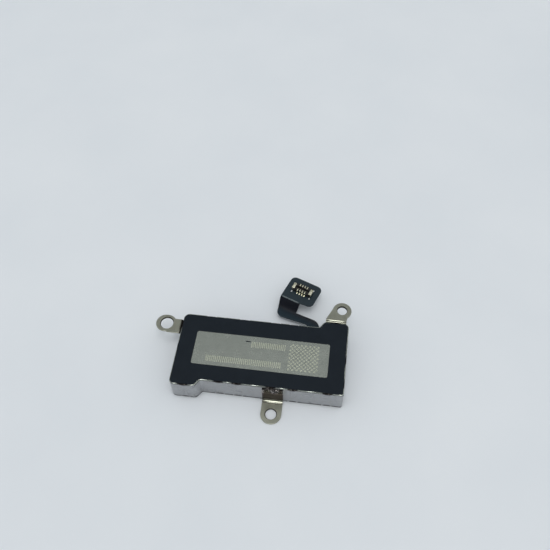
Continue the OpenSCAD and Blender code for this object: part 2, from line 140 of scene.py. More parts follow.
class Look:
    """A node material. Its textures lie in millimetres of the shared frame.

    With rest_attribute they follow the piece's shape at rest, so that they bend with it.
    """

    def __init__(self, name, metallic=0.0, rest_attribute=False, **constants):
        self.material = bpy.data.materials.new(name)
        self.material.use_nodes = True
        self.tree = self.material.node_tree
        self.shader = self.tree.nodes["Principled BSDF"]
        self.shader.inputs["Metallic"].default_value = metallic
        for key, value in constants.items():
            self.shader.inputs[key.replace("_", " ")].default_value = value
        if rest_attribute:
            source = self.tree.nodes.new("ShaderNodeAttribute")
            source.attribute_name = "rest_mm"
            self.mm = source.outputs["Vector"]
        else:
            source = self.tree.nodes.new("ShaderNodeTexCoord")
            scale = self.tree.nodes.new("ShaderNodeVectorMath")
            scale.operation = "SCALE"
            scale.inputs["Scale"].default_value = 1 / MM
            self.tree.links.new(source.outputs["Object"], scale.inputs[0])
            self.mm = scale.outputs[0]
        self.normal = None

    def stretch(self, size, turn=0.0):
        """Coordinates multiplied by size, after a turn about Z in degrees."""
        n = self.tree.nodes.new("ShaderNodeMapping")
        n.inputs["Scale"].default_value = size
        n.inputs["Rotation"].default_value = (0, 0, math.radians(turn))
        self.tree.links.new(self.mm, n.inputs["Vector"])
        return n.outputs[0]

    def noise(self, scale, detail=3.0, rough=0.55, size=None, turn=0.0, warp=0.0):
        """Cloudy noise, stretched by size and turned about Z where size is given."""
        n = self.tree.nodes.new("ShaderNodeTexNoise")
        n.inputs["Scale"].default_value = scale
        n.inputs["Detail"].default_value = detail
        n.inputs["Roughness"].default_value = rough
        n.inputs["Distortion"].default_value = warp
        vector = self.stretch(size, turn) if size else self.mm
        self.tree.links.new(vector, n.inputs["Vector"])
        return n.outputs["Fac"]

    def cells(self, scale, size=None):
        """Distance to the nearest of many random points."""
        n = self.tree.nodes.new("ShaderNodeTexVoronoi")
        n.inputs["Scale"].default_value = scale
        self.tree.links.new(self.stretch(size) if size else self.mm, n.inputs["Vector"])
        return n.outputs["Distance"]

    def near(self, points, size):
        """Distance to the nearest point, in coordinates multiplied by size."""
        place, nearest = self.stretch(size), None
        for point in points:
            n = self.tree.nodes.new("ShaderNodeVectorMath")
            n.operation = "DISTANCE"
            self.tree.links.new(place, n.inputs[0])
            n.inputs[1].default_value = [c * k for c, k in zip(point, size)]
            here = n.outputs["Value"]
            nearest = self.smaller(nearest, here) if nearest else here
        return nearest

    def axis(self, index):
        """One of the three coordinates."""
        n = self.tree.nodes.new("ShaderNodeSeparateXYZ")
        self.tree.links.new(self.mm, n.inputs[0])
        return n.outputs[index]

    def math(self, operation, a, b=0.0):
        """A number made from one or two others."""
        n = self.tree.nodes.new("ShaderNodeMath")
        n.operation = operation
        for socket, value in zip(n.inputs, (a, b)):
            set_socket(self.tree, socket, value)
        return n.outputs[0]

    def plus(self, a, b):
        return self.math("ADD", a, b)

    def minus(self, a, b):
        return self.math("SUBTRACT", a, b)

    def times(self, a, b):
        return self.math("MULTIPLY", a, b)

    def larger(self, a, b):
        return self.math("MAXIMUM", a, b)

    def smaller(self, a, b):
        return self.math("MINIMUM", a, b)

    def span(self, value, a, b, c=0.0, d=1.0):
        """value from a..b to c..d, clamped, with soft ends."""
        n = self.tree.nodes.new("ShaderNodeMapRange")
        n.interpolation_type = "SMOOTHSTEP"
        ends = ("Value", "From Min", "From Max", "To Min", "To Max")
        for key, end in zip(ends, (value, a, b, c, d)):
            set_socket(self.tree, n.inputs[key], end)
        return n.outputs["Result"]

    def between(self, value, a, b, c, d):
        """1 where value lies between b and c, falling to 0 at a and at d."""
        return self.times(self.span(value, a, b), self.span(value, d, c))

    def ramp(self, value, stops):
        """The colour at value between stops."""
        return colour_ramp(self.tree, value, stops)

    def two_tone(self, value, dark, light):
        """From dark to light over the middle of a noise."""
        return self.ramp(value, [(0.3, dark), (0.7, light)])

    def mix(self, share, a, b):
        """Colour a with share of colour b over it."""
        return colour_mix(self.tree, share, a, b)

    def bump(self, height, depth_mm, strength=1.0):
        """Adds relief on top of what is there already."""
        n = self.tree.nodes.new("ShaderNodeBump")
        n.inputs["Strength"].default_value = strength
        n.inputs["Distance"].default_value = depth_mm * MM
        self.tree.links.new(height, n.inputs["Height"])
        if self.normal is not None:
            self.tree.links.new(self.normal, n.inputs["Normal"])
        self.normal = n.outputs["Normal"]

    def finish(self, colour, roughness):
        """Joins the colour, roughness and relief to the shader."""
        set_socket(self.tree, self.shader.inputs["Base Color"], colour)
        set_socket(self.tree, self.shader.inputs["Roughness"], roughness)
        if self.normal is not None:
            self.tree.links.new(self.normal, self.shader.inputs["Normal"])
        return self.material


# ---------------------------------------------------------------- materials

# Centre and radius of the front, back and left tabs' holes
TAB_HOLES = [((2.31, -7.43), 0.775), ((10.91, 8.36), 0.71), ((-14.63, 3.77), 0.925)]
HOLE_SHADE_SHIFT = 0.05         # towards +Y, so that the far edge of a hole turns dark too
# Where the tabs' level flanges begin
FRONT_FLANGE_Y, BACK_FLANGE_Y, LEFT_FLANGE_X = -5.72, 6.65, -12.5


def tab_look():
    """Rolled strip whose colour, where it is welded to the case, holds painted dark reflection and
    shade, a painted reflected band and painted glints.
    """
    look = Look("tab_steel", metallic=1.0)
    streak = look.noise(1.0, 4, 0.6, size=(12, 0.5, 6))
    cloud = look.noise(0.9, 4, 0.6, warp=0.4)
    speckle = look.noise(9.0, 3, 0.65)
    tone = look.ramp(look.plus(look.times(streak, 0.4), look.times(cloud, 0.6)),
                     [(0.32, (0.36, 0.365, 0.295)), (0.68, (0.46, 0.465, 0.385))])
    tone = look.mix(look.span(speckle, 0.55, 0.75, 0, 0.14), tone, (0.20, 0.19, 0.15))

    # Where dark reflection and shade are painted: the front tab's leg above its bend, and the left
    # tab's root
    leg_y, root_x = box_mm("tab_front")[1].y, box_mm("tab_left")[1].x
    x, y, z = (look.axis(i) for i in range(3))
    leg = look.between(y, leg_y - 0.46, leg_y - 0.34, leg_y + 0.2, leg_y + 0.4)
    leg = look.times(leg, look.span(z, 0.34, 0.46))
    root = look.between(x, root_x - 0.62, root_x - 0.34, root_x + 0.2, root_x + 0.4)

    # Painted from the bend up: near black low down and at the top, and brown between, for dark
    # reflection and shade; a rosy band, the painted reflection of the hole; and painted glints at
    # the weld
    painted_hole_reflection = look.between(z, 2.25, 2.6, 2.85, 3.15)
    tint = look.mix(look.times(painted_hole_reflection, 0.8), (0.054, 0.039, 0.038), (0.150, 0.114, 0.114))
    tint = look.mix(look.span(z, 1.3, 0.7), tint, (0.010, 0.010, 0.009))
    tint = look.mix(look.span(z, 2.75, 2.95), tint, (0.016, 0.012, 0.012))
    painted_glints = look.times(look.span(look.noise(4.5, 2, 0.6), 0.56, 0.62),
                         look.span(z, 2.6, 2.85))
    tint = look.mix(look.times(painted_glints, leg), tint, (0.80, 0.74, 0.70))
    colour = look.mix(look.times(look.larger(leg, root), 0.985), tone, tint)

    # Painted shade: each hole's wall and rim darkened, shifted towards the far side
    for (cx, cy), radius in TAB_HOLES:
        off = look.near([(cx, cy + HOLE_SHADE_SHIFT, 0)], (1, 1, 0))
        wall = look.span(off, radius + 0.08, radius + 0.05)
        colour = look.mix(look.times(wall, 0.95), colour, (0.014, 0.013, 0.012))
    look.bump(streak, 0.0015)
    look.bump(speckle, 0.002, 0.6)
    flange = look.larger(look.span(y, FRONT_FLANGE_Y, FRONT_FLANGE_Y - 0.16),
                         look.span(y, BACK_FLANGE_Y, BACK_FLANGE_Y + 0.2))
    flange = look.larger(flange, look.span(x, LEFT_FLANGE_X, LEFT_FLANGE_X - 0.2))
    return look.finish(colour, look.plus(look.span(cloud, 0.3, 0.7, 0.15, 0.21),
                                         look.times(flange, 0.16)))


def weld_oxide_and_painted_shade(look, colour):
    """Dark oxide beside the laser welds, painted shade in the covers' seams, and a painted contact
    shadow with dark reflection along the foot.
    """
    height = look.axis(2)
    off_middle = look.math("ABSOLUTE", look.minus(height, CASE_H / 2))
    squeeze = 0.42              # along a weld, so that the tint is longer than it is wide
    gap = look.smaller(look.near(SEAMS_ALONG_X, (squeeze, 1, 0)),
                       look.near(SEAMS_ALONG_Y, (1, squeeze, 0)))
    mottle = look.noise(5.0, 4, 0.7)
    heat = look.span(look.plus(gap, look.times(mottle, 0.25)), 0.35, 0.25)
    heat = look.times(heat, look.span(off_middle, 1.42, 1.66))
    colour = look.mix(look.times(heat, 0.9), colour, (0.016, 0.013, 0.012))
    # Painted shade: a dark band in the seams between the covers and the frame
    seam = look.between(off_middle, 1.62, 1.70, 1.76, 1.84)
    # Painted contact shadow and dark reflection: a dark band along the case's foot
    foot = look.between(height, 0.0, 0.05, 0.28, 0.34)
    return look.mix(look.larger(look.times(seam, 0.45), look.times(foot, 0.95)),
                    colour, (0.050, 0.050, 0.052))


def brushed_metal(name, dark, light, rough=(0.28, 0.42), grain=(0.5, 14, 14), grain_mm=0.002,
                  stain_share=0.12, rest_attribute=False, welded=False, wave_mm=0.006):
    """Rolled or brushed sheet metal: fine grain, cloudy tone, faint stains and scratches."""
    look = Look(name, metallic=1.0, rest_attribute=rest_attribute)
    streak = look.noise(1.0, 4, 0.6, size=grain)
    cloud = look.noise(0.55, 4, 0.6, warp=0.4)
    blotch = look.noise(1.7, 5, 0.65)
    tone = look.ramp(look.plus(look.times(streak, 0.45), look.times(cloud, 0.55)),
                     [(0.32, dark), (0.68, light)])
    stain = look.times(look.span(blotch, 0.52, 0.75), stain_share)
    colour = look.mix(stain, tone, (0.30, 0.26, 0.20))
    # Weld oxide, with painted shade in the seams and along the foot
    if welded:
        colour = weld_oxide_and_painted_shade(look, colour)
    scratch = look.span(look.noise(1.0, 1, 0.5, size=(3.0, 0.22, 3.0), turn=31), 0.70, 0.74)
    roughness = look.plus(look.span(cloud, 0.3, 0.7, *rough), look.times(streak, 0.06))
    roughness = look.minus(roughness, look.times(scratch, 0.08))
    look.bump(streak, grain_mm)
    look.bump(look.minus(1.0, scratch), grain_mm * 1.5, 0.6)
    look.bump(look.noise(0.8, 3, 0.5), wave_mm, 0.5)
    return look.finish(colour, roughness)


def film_look():
    """Semi-matte black film with faint smudges, dust and lint."""
    look = Look("black_film", Specular_IOR_Level=0.18)
    cloud = look.noise(0.6, 5, 0.6, warp=0.5)
    grain = look.noise(22, 2, 0.6)
    dust = look.span(look.cells(1.15), 0.035, 0.02)
    lint = look.times(dust, look.span(look.noise(0.9, 1), 0.5, 0.56))
    base = look.two_tone(cloud, (0.0068, 0.0110, 0.0165), (0.0090, 0.0138, 0.0198))
    colour = look.mix(look.times(lint, 0.55), base, (0.16, 0.17, 0.18))
    smudge = look.span(look.noise(0.35, 4, 0.65, warp=1.2), 0.35, 0.7, 0.40, 0.52)
    look.bump(grain, 0.0016)
    look.bump(look.noise(1.6, 2, 0.5), 0.010, 0.5)
    look.bump(lint, 0.008, 0.7)
    return look.finish(colour, look.plus(smudge, look.times(grain, 0.05)))


def weld_look():
    """Oxidised weld metal, from near black to bright steel."""
    look = Look("weld_metal", metallic=1.0)
    ripple = look.noise(7.0, 3, 0.6)
    tint = look.noise(1.9, 3, 0.6)
    colour = look.ramp(look.plus(look.times(ripple, 0.5), look.times(tint, 0.5)),
                       [(0.40, (0.012, 0.010, 0.010)), (0.52, (0.030, 0.025, 0.022)),
                        (0.60, (0.12, 0.11, 0.10)), (0.70, (0.50, 0.48, 0.45))])
    look.bump(ripple, 0.016)
    return look.finish(colour, look.span(tint, 0.3, 0.7, 0.14, 0.36))


# The board's edge, where the sheet bends down: middle, direction and half length
FLEX_EDGE_AT = (2.92, 10.78)
FLEX_EDGE_ALONG = (math.cos(TAIL_TURN), math.sin(TAIL_TURN))
FLEX_EDGE_HALF = 1.75


def flex_look():
    """Black coverlay: matte and faintly blue, with a painted highlight along the crease at the
    edge of the board and painted shade on the slope below it.
    """
    look = Look("black_flex", rest_attribute=True, Specular_IOR_Level=0.25)
    cloud = look.noise(0.9, 4, 0.6, warp=0.4)
    grain = look.noise(26, 2, 0.65)
    colour = look.two_tone(cloud, (0.0100, 0.0215, 0.0310), (0.0130, 0.0260, 0.0365))
    x = look.minus(look.axis(0), FLEX_EDGE_AT[0])
    y = look.minus(look.axis(1), FLEX_EDGE_AT[1])
    ux, uy = FLEX_EDGE_ALONG
    along = look.math("ABSOLUTE", look.plus(look.times(x, ux), look.times(y, uy)))
    across = look.minus(look.times(y, ux), look.times(x, uy))
    # Painted highlight: a pale line along the crease at the board's edge
    line = look.times(look.span(look.math("ABSOLUTE", across), 0.13, 0.06),
                      look.span(along, FLEX_EDGE_HALF, FLEX_EDGE_HALF * 0.55))
    line = look.times(line, look.span(look.noise(3.0, 3), 0.3, 0.6, 0.35, 1.0))
    # Painted shade: the slope down from the board's edge is near black
    slope = look.between(across, -2.2, -1.0, -0.1, 0.05)
    board = look.span(across, -0.1, 0.1, 0, 0.6)
    colour = look.mix(slope, colour, (0.0012, 0.0024, 0.0070))
    colour = look.mix(board, colour, (0.028, 0.040, 0.047))
    colour = look.mix(line, colour, (0.17, 0.20, 0.205))
    look.bump(line, 0.012)
    look.bump(grain, 0.0018)
    look.bump(look.noise(2.2, 3, 0.5), 0.006, 0.5)
    return look.finish(colour, look.plus(look.span(cloud, 0.3, 0.7, 0.34, 0.46),
                                         look.times(grain, 0.06)))


def gold_look():
    """Pale gold plating with a faint orange-peel relief."""
    look = Look("gold_plate", metallic=1.0)
    tone = look.noise(5.0, 4, 0.6)
    colour = look.two_tone(tone, (0.86, 0.82, 0.52), (1.0, 0.99, 0.86))
    look.bump(look.noise(30, 2, 0.6), 0.0012)
    look.bump(look.noise(6, 2, 0.5), 0.004, 0.5)
    return look.finish(colour, look.span(tone, 0.3, 0.7, 0.20, 0.36))


def solder_look():
    """Bright solder with a frosty grain."""
    look = Look("solder", metallic=1.0)
    grain = look.cells(24)
    tone = look.noise(6, 3, 0.6)
    colour = look.two_tone(tone, (0.74, 0.76, 0.76), (0.96, 0.97, 0.97))
    look.bump(grain, 0.004)
    return look.finish(colour, look.span(tone, 0.3, 0.7, 0.22, 0.42))


def plastic_look(name, dark, light, rough=(0.42, 0.58), fleck_share=0.35):
    """Glass-filled moulded plastic or rubber: fine flecks and a dull skin."""
    look = Look(name, Specular_IOR_Level=0.45)
    cloud = look.noise(1.4, 4, 0.6)
    flecks = look.span(look.cells(11, size=(1, 0.35, 1)), 0.16, 0.08)
    base = look.two_tone(cloud, dark, light)
    colour = look.mix(look.times(flecks, fleck_share), base, (0.10, 0.085, 0.07))
    look.bump(look.noise(28, 3, 0.6), 0.0022)
    return look.finish(colour, look.span(cloud, 0.3, 0.7, *rough))


def copper_look():
    """Copper wire under clear enamel."""
    look = Look("copper_wire", metallic=1.0, Coat_Weight=0.7, Coat_Roughness=0.12)
    tone = look.noise(2.4, 4, 0.6)
    colour = look.two_tone(tone, (0.46, 0.155, 0.055), (0.68, 0.27, 0.11))
    look.bump(look.noise(14, 2, 0.5), 0.002)
    return look.finish(colour, look.span(tone, 0.3, 0.7, 0.22, 0.36))


def amber_look():
    """Polyimide over copper lines, which show through as lighter stripes."""
    look = Look("amber_flex", Coat_Weight=0.5, Coat_Roughness=0.2)
    stripe = look.math("SINE", look.times(look.axis(1), 15.0))
    lines = look.span(stripe, 0.1, 0.5)
    cloud = look.noise(1.2, 4, 0.6)
    base = look.two_tone(cloud, (0.34, 0.135, 0.022), (0.46, 0.20, 0.038))
    colour = look.mix(look.times(lines, 0.55), base, (0.62, 0.33, 0.10))
    look.bump(lines, 0.006)
    look.bump(look.noise(18, 2, 0.6), 0.0015)
    return look.finish(colour, look.span(cloud, 0.3, 0.7, 0.34, 0.48))


def plated_look(name, dark, light, rough=(0.16, 0.30), pit_mm=0.003, pit_scale=9.0):
    """Plated or sintered metal with small pits."""
    look = Look(name, metallic=1.0)
    pits = look.span(look.cells(pit_scale), 0.18, 0.06)
    cloud = look.noise(0.9, 5, 0.6)
    base = look.two_tone(cloud, dark, light)
    colour = look.mix(look.times(pits, 0.35), base, tuple(0.4 * c for c in dark))
    look.bump(look.minus(1.0, pits), pit_mm)
    look.bump(look.noise(20, 3, 0.6), pit_mm * 0.5)
    return look.finish(colour, look.plus(look.span(cloud, 0.3, 0.7, *rough),
                                         look.times(pits, 0.15)))


def frost_look():
    """Laser-frosted steel of the marks in the window."""
    look = Look("laser_frost", metallic=1.0)
    tone = look.noise(9, 3, 0.6)
    colour = look.two_tone(tone, (0.61, 0.64, 0.51), (0.73, 0.76, 0.61))
    look.bump(look.noise(30, 3, 0.6), 0.0006)
    return look.finish(colour, look.span(tone, 0.3, 0.7, 0.30, 0.38))


LOOKS = {
    "case_steel": brushed_metal("case_steel", (0.325, 0.330, 0.340), (0.48, 0.485, 0.495),
                                rough=(0.22, 0.34), grain=(0.9, 0.9, 12), stain_share=0.25,
                                welded=True),
    "cover_steel": brushed_metal("cover_steel", (0.445, 0.475, 0.425), (0.50, 0.53, 0.475),
                                 rough=(0.20, 0.25), grain=(0.35, 15, 15), grain_mm=0.0003,
                                 wave_mm=0.0006, stain_share=0.05, welded=True),
    "tab_steel": tab_look(),
    "clamp_steel": brushed_metal("clamp_steel", (0.40, 0.41, 0.42), (0.55, 0.56, 0.57)),
    "carrier_steel": brushed_metal("carrier_steel", (0.34, 0.35, 0.36), (0.47, 0.48, 0.49),
                                   grain=(0.5, 12, 12)),
    "spring_steel": brushed_metal("spring_steel", (0.50, 0.49, 0.44), (0.66, 0.65, 0.60),
                                  rough=(0.18, 0.30), grain=(0.5, 0.5, 18), rest_attribute=True),
    "stiffener_steel": brushed_metal("stiffener_steel", (0.10, 0.105, 0.11), (0.17, 0.175, 0.18)),
    "black_film": film_look(),
    "weld_metal": weld_look(),
    "black_flex": flex_look(),
    "gold_plate": gold_look(),
    "solder": solder_look(),
    "connector_plastic": plastic_look("connector_plastic", (0.008, 0.008, 0.007),
                                      (0.018, 0.017, 0.014)),
    "bumper_rubber": plastic_look("bumper_rubber", (0.012, 0.012, 0.013), (0.022, 0.022, 0.024),
                                  rough=(0.6, 0.75), fleck_share=0.1),
    "copper_wire": copper_look(),
    "amber_flex": amber_look(),
    "magnet_plate": plated_look("magnet_plate", (0.50, 0.51, 0.52), (0.68, 0.69, 0.70)),
    "heavy_metal": plated_look("heavy_metal", (0.17, 0.17, 0.175), (0.27, 0.27, 0.28),
                               rough=(0.36, 0.5), pit_mm=0.006, pit_scale=6.0),
    "laser_frost": frost_look(),
}

for node_name, obj in nodes.items():
    slot_name = obj.material_slots[0].material.name.split(".")[0]
    for s in obj.material_slots:
        s.link = "OBJECT"
        s.material = LOOKS[slot_name]


# ---------------------------------------------------------------- softer edges on CAD nodes

def shell_cleaner():
    """Joins each face's own corners and shades smoothly across flat edges."""
    group = bpy.data.node_groups.new("clean_shell", "GeometryNodeTree")
    for side in ("INPUT", "OUTPUT"):
        group.interface.new_socket("Geometry", in_out=side, socket_type="NodeSocketGeometry")
    new, link = group.nodes.new, group.links.new
    start, end = new("NodeGroupInput"), new("NodeGroupOutput")
    merge = new("GeometryNodeMergeByDistance")
    merge.inputs["Distance"].default_value = SAME_PLACE
    drop = new("GeometryNodeRemoveAttribute")
    drop.inputs["Name"].default_value = "custom_normal"
    faces = new("GeometryNodeSetShadeSmooth")
    faces.domain = "FACE"
    edges = new("GeometryNodeSetShadeSmooth")
    edges.domain = "EDGE"
    angle = new("GeometryNodeInputMeshEdgeAngle")
    flat = new("FunctionNodeCompare")
    flat.operation = "LESS_THAN"
    flat.inputs["B"].default_value = math.radians(SMOOTH_DEG)
    link(start.outputs[0], merge.inputs["Geometry"])
    link(merge.outputs[0], drop.inputs["Geometry"])
    link(drop.outputs[0], faces.inputs["Geometry"])
    link(faces.outputs[0], edges.inputs["Geometry"])
    link(angle.outputs["Unsigned Angle"], flat.inputs["A"])
    link(flat.outputs[0], edges.inputs["Shade Smooth"])
    link(edges.outputs[0], end.inputs[0])
    return group


CLEAN_SHELL = shell_cleaner()


def soften(node, width_mm):
    """Rounds a CAD node's sharp edges with modifiers. Its own mesh stays as packed."""
    obj = nodes[node]
    clean = obj.modifiers.new("clean", "NODES")
    clean.node_group = CLEAN_SHELL
    flat = obj.modifiers.new("flat", "DECIMATE")
    flat.decimate_type = "DISSOLVE"
    flat.angle_limit = math.radians(FLAT_DEG)
    if width_mm:
        edge = obj.modifiers.new("edge", "BEVEL")
        edge.width = width_mm * MM
        edge.segments = 2
        edge.limit_method = "ANGLE"
        edge.angle_limit = math.radians(SMOOTH_DEG)
        edge.use_clamp_overlap = True
    even = obj.modifiers.new("even", "WEIGHTED_NORMAL")
    even.weight = 100
    even.keep_sharp = False


# Width of the rounding of each node's edges. The covers are rounded in the CAD model.
for node_name, width in {
    "side_frame": 0.02, "top_cover": 0, "bottom_cover": 0, "cover_film": 0.012,
    "tab_front": 0.03, "tab_back": 0.03, "tab_left": 0.03,
    "connector_stiffener": 0.02, "connector_housing": 0.025, "signal_contacts": 0.014,
    "hold_downs": 0.03, "solder_pads": 0.02, "main_flex": 0.012, "upper_flex": 0.012,
    "anchor_left": 0.02, "anchor_right": 0.02, "spring_foot_left": 0.02, "spring_foot_right": 0.02,
    "bumper_left": 0.06, "bumper_right": 0.06, "carrier_frame": 0.03,
    "magnet_left": 0.05, "magnet_center": 0.05, "magnet_right": 0.05,
    "weight_left": 0.06, "weight_right": 0.06,
}.items():
    soften(node_name, width)


# ---------------------------------------------------------------- mesh helpers

def to_object(bm, name, body, slot, replaces=(), blend_to=None, smooth_angle=SMOOTH_DEG,
              look=None):
    """A mesh in millimetres becomes a finished piece in metres.

    The piece rides on body, unless blend_to is given: then it stays unattached in the shared frame
    and does not bend, and body and the points that blend_to holds are not used. Its look is its
    slot's unless look is given.
    """
    bmesh.ops.recalc_face_normals(bm, faces=bm.faces)
    mesh = bpy.data.meshes.new(name)
    rest = bm.verts.layers.float_vector.new("rest_mm")
    for v in bm.verts:
        v[rest] = v.co
        v.co = v.co * MM
    for f in bm.faces:
        f.smooth = True
    limit = math.radians(smooth_angle)
    for e in bm.edges:
        e.smooth = len(e.link_faces) == 2 and e.calc_face_angle(0) < limit
    bm.to_mesh(mesh)
    bm.free()
    obj = bpy.data.objects.new(name, mesh)
    bpy.context.scene.collection.objects.link(obj)
    mesh.materials.append(LOOKS[look or slot])
    if blend_to:
        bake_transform(obj)
    else:
        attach(obj, body)
    if replaces:
        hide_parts(*replaces)


def corner(a, b, c, radius, steps):
    """Points of an arc that rounds the corner b between a and c."""
    a, b, c = Vector(a), Vector(b), Vector(c)
    u, v = (a - b).normalized(), (c - b).normalized()
    half = math.acos(max(-1, min(1, u.dot(v)))) / 2
    centre = b + (u + v).normalized() * radius / math.sin(half)
    p = b + u * radius / math.tan(half) - centre
    q = b + v * radius / math.tan(half) - centre
    turn = math.copysign(math.pi - 2 * half, p.x * q.y - p.y * q.x)
    return [centre + Matrix.Rotation(turn * i / steps, 2) @ p for i in range(steps + 1)]


def rounded(points, radii, steps):
    """A closed outline with a radius at every corner."""
    n = len(points)
    return [p for i in range(n)
            for p in corner(points[i - 1], points[i], points[(i + 1) % n], radii[i], steps)]


def bent(points, radii, steps):
    """An open line with a radius at every inner point."""
    middle = [p for i in range(1, len(points) - 1)
              for p in corner(points[i - 1], points[i], points[i + 1], radii[i - 1], steps)]
    return [Vector(points[0]), *middle, Vector(points[-1])]


def sweep(bm, path, section):
    """Skins a section of (out, up) points along a level path of (position, outward) pairs."""
    rings = [[bm.verts.new((p.x + o * out.x, p.y + o * out.y, u)) for o, u in section]
             for p, out in path]
    n = len(section)
    for a, b in zip(rings, rings[1:]):
        for i in range(n):
            bm.faces.new((a[i], a[(i + 1) % n], b[(i + 1) % n], b[i]))
    bm.faces.new(rings[0])
    bm.faces.new(rings[-1][::-1])


# ---------------------------------------------------------------- flex tail

# The board's middle, length and width. Its own frame is turned by TAIL_TURN, u along and v across.
BOARD = Vector((4.6, 12.36))
BOARD_L, BOARD_W = 5.15, 3.96
FLEX_T = 0.12                   # thickness of the sheet
SLICE = 0.22                    # length of the sheet's facets across its bends
RIM_W, RIM_DEG = 0.018, 60      # rounding of the sheet's rim, and the sharpness that tells a rim
# Heights of the sheet's middle: at the wall, on the level run and on the board
EXIT_Z, RUN_Z, BOARD_Z = 0.36, 0.9, 2.0
SLOT_X = 6.66                   # middle of the slot in the rear wall
# The sheet's middle from the side, as v and height, and its outline from above, as u and v
TAIL_PROFILE = bent([(-9, EXIT_Z), (-5.4, EXIT_Z), (-4.85, RUN_Z), (-3.15, RUN_Z),
                     (-2.1, BOARD_Z), (3, BOARD_Z)], [0.4, 0.4, 1.6, 0.2], 8)
TAIL_OUTLINE = rounded([
    (BOARD_L / 2, BOARD_W / 2), (-BOARD_L / 2, BOARD_W / 2), (-BOARD_L / 2, -2.5), (-1.85, -4.98),
    (3.18, -4.28), (3.93, -7.2), (5.64, -6.7), (4.87, -3.12), (0.66, -3.33), (0.68, -2.08),
    (BOARD_L / 2, -BOARD_W / 2)], [0.8, 0.8, 2.2, 1, 0.5, 0.05, 0.05, 1.5, 0.12, 0.12, 0.8], 10)


def board_to_frame(u, v, z):
    """A point of the board's frame in the shared frame."""
    c, s = math.cos(TAIL_TURN), math.sin(TAIL_TURN)
    return Vector((BOARD.x + u * c - v * s, BOARD.y + u * s + v * c, z))


def tail_height(v):
    """Height of the tail's middle and its slope at v."""
    for a, b in zip(TAIL_PROFILE, TAIL_PROFILE[1:]):
        if a.x <= v <= b.x and b.x > a.x:
            share = (v - a.x) / (b.x - a.x)
            return a.y + share * (b.y - a.y), (b.y - a.y) / (b.x - a.x)
    return BOARD_Z, 0.0


def tail_sheet(bm):
    """The tail's sheet, sliced finely enough to bend and cut off at the rear wall."""
    flat = bm.faces.new([bm.verts.new((p.x, p.y, 0)) for p in TAIL_OUTLINE])
    bmesh.ops.recalc_face_normals(bm, faces=[flat])

    def slice_at(point, normal, drop=False):
        geometry = bm.verts[:] + bm.edges[:] + bm.faces[:]
        bmesh.ops.bisect_plane(bm, geom=geometry, dist=1e-6, plane_co=point, plane_no=normal,
                               clear_inner=drop)

    c, s = math.cos(TAIL_TURN), math.sin(TAIL_TURN)
    reach = HALF_W - BOARD.y
    slice_at((s * reach, c * reach, 0), (s, c, 0), drop=True)
    us = [v.co.x for v in bm.verts]
    vs = [v.co.y for v in bm.verts]
    stations = {round(p.x, 3) for p in TAIL_PROFILE if min(vs) < p.x < max(vs)}
    stations |= {round(min(vs) + SLICE * i, 3)
                 for i in range(1, int((max(vs) - min(vs)) / SLICE))}
    for v in sorted(stations):
        slice_at((0, v, 0), (0, 1, 0))
    for i in range(1, int((max(us) - min(us)) / (2 * SLICE))):
        slice_at((min(us) + 2 * SLICE * i, 0, 0), (1, 0, 0))
    made = bmesh.ops.extrude_face_region(bm, geom=bm.faces[:])
    raised = {v for v in made["geom"] if isinstance(v, bmesh.types.BMVert)}
    for vert in bm.verts:
        height, slope = tail_height(vert.co.y)
        off = FLEX_T / 2 if vert in raised else -FLEX_T / 2
        vert.co = board_to_frame(vert.co.x, vert.co.y, height + off * math.sqrt(1 + slope * slope))


def round_rims(bm):
    """Rounds the edges between a sheet's faces and its rim."""
    rims = [e for e in bm.edges
            if len(e.link_faces) == 2 and e.calc_face_angle(0) > math.radians(RIM_DEG)]
    bmesh.ops.bevel(bm, geom=rims, offset=RIM_W, segments=2, affect="EDGES", profile=0.5,
                    clamp_overlap=True)


BEND_L = 1.3                    # the tail's bending span behind the wall, passed to to_object, which does not bend it
HINGE_START = Vector((SLOT_X, HALF_W, EXIT_Z)) * MM
HINGE_END = Vector((SLOT_X, HALF_W + BEND_L, EXIT_Z)) * MM

bm = bmesh.new()
tail_sheet(bm)
round_rims(bm)
to_object(bm, "flex_tail_sheet", CASE, "black_flex", replaces=["flex_tail"],
          blend_to=(TAIL, HINGE_START, HINGE_END))


# ---------------------------------------------------------------- springs

def leaf(name, turn, node):
    """A V-shaped leaf flexure, from the end wall round its bend in the lobe to the mass."""
    t, chamfer, facet = 0.18, 0.025, 0.35
    arm_x, foot_x, bend_x = HALF_L - WALL - t / 2, 9.39, HALF_L - WALL - 0.8
    end_y, knee_y, bend_y, tip_y, bend_half = 4.5, 2.3, -5, -5.54, 0.42
    line = bent([(-arm_x, end_y), (-arm_x, knee_y), (-bend_x - bend_half, bend_y),
                 (-bend_x, tip_y), (-bend_x + bend_half, bend_y), (-foot_x, knee_y),
                 (-foot_x, end_y)], [3, 0.3, 0.3, 0.3, 3], 10)
    fine = []
    for a, b in zip(line, line[1:]):
        n = max(1, int((b - a).length / facet))
        fine += [a.lerp(b, i / n) for i in range(n)]
    fine.append(line[-1])
    path = []
    for i, p in enumerate(fine):
        d = (fine[min(i + 1, len(fine) - 1)] - fine[max(i - 1, 0)]).normalized()
        path.append((p, Vector((-d.y, d.x))))
    low, high = box_mm(node)
    z0, z1, e = low.z, high.z, chamfer
    section = [(-t / 2 + e, z0), (t / 2 - e, z0), (t / 2, z0 + e), (t / 2, z1 - e),
               (t / 2 - e, z1), (-t / 2 + e, z1), (-t / 2, z1 - e), (-t / 2, z0 + e)]
    bm = bmesh.new()
    sweep(bm, path, section)
    bmesh.ops.rotate(bm, verts=bm.verts, cent=(0, 0, 0), matrix=Matrix.Rotation(turn, 3, "Z"))
    sign = 1 if turn == 0 else -1
    start = Vector((-sign * (arm_x - t / 2), 0, CASE_H / 2)) * MM
    end = Vector((-sign * (foot_x + t / 2), 0, CASE_H / 2)) * MM
    to_object(bm, name, CASE, "spring_steel", replaces=[node], blend_to=(MASS, start, end))


leaf("spring_leaf_left", 0, "spring_left")
leaf("spring_leaf_right", math.pi, "spring_right")


# ---------------------------------------------------------------- coils

